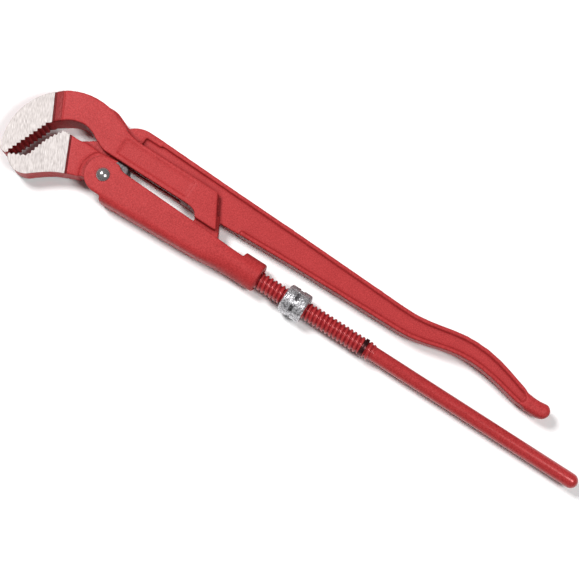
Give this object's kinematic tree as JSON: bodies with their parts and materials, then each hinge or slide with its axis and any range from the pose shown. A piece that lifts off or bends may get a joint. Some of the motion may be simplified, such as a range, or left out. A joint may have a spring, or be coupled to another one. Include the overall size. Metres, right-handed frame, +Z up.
{
  "type": "pipe wrench",
  "caption": "Swedish-pattern pipe wrench: a toothed hook jaw forged with an I-section handle, a toothed lower jaw riveted in a sleeve, and a threaded leg with an adjusting nut.",
  "frame": {"origin": "middle of the underside of the bounding box, with the wrench lying flat on its back", "axes": "+X along the threaded leg from the jaws to the handle ends, +Y across the wrench towards the forged handle, +Z up through the thickness"},
  "size_m": [0.5396, 0.0866, 0.0283],
  "materials": {
    "red_paint": "fine-textured satin powder coat",
    "ground_steel": "ground jaw faces and bare teeth",
    "zinc_nut": "rough zinc-plated casting",
    "ring_steel": "dark spring steel",
    "rivet_steel": "polished",
    "pin_steel": "plain turned"
  },
  "bodies": {
    "lever": {"handle_lever": "red_paint", "leg_pivot_pin": "pin_steel"},
    "leg": {"threaded_leg": "red_paint", "stop_ring": "ring_steel"},
    "sleeve": {"sleeve": "red_paint", "jaw_rivet": "rivet_steel"},
    "jaw": {"lower_jaw": "red_paint"},
    "nut": {"adjusting_nut": "zinc_nut"}
  },
  "joints": [
    {"name": "leg_swing", "type": "hinge", "parent": "lever", "child": "leg", "pos_m": [-0.08242, -0.00985, 0.0125], "axis": [0, 0, 1], "range_deg": [0, 3.5]},
    {"name": "jaw_travel", "type": "slide", "parent": "leg", "child": "sleeve", "axis": [1, 0, 0], "range_m": [0, 0.05]},
    {"name": "lower_jaw_pivot", "type": "hinge", "parent": "sleeve", "child": "jaw", "pos_m": [-0.18042, -0.00785, 0.0125], "axis": [0, 0, 1], "range_deg": [-0.3, 1.5]},
    {"name": "nut_turn", "type": "hinge", "parent": "sleeve", "child": "nut", "pos_m": [0.00608, -0.00985, 0.0125], "axis": [1, 0, 0], "range_deg": [0, 4740]}
  ],
  "couplings": [
    {"joint": "nut_turn", "follows": "jaw_travel", "rad_per_m": 1653.5}
  ]
}
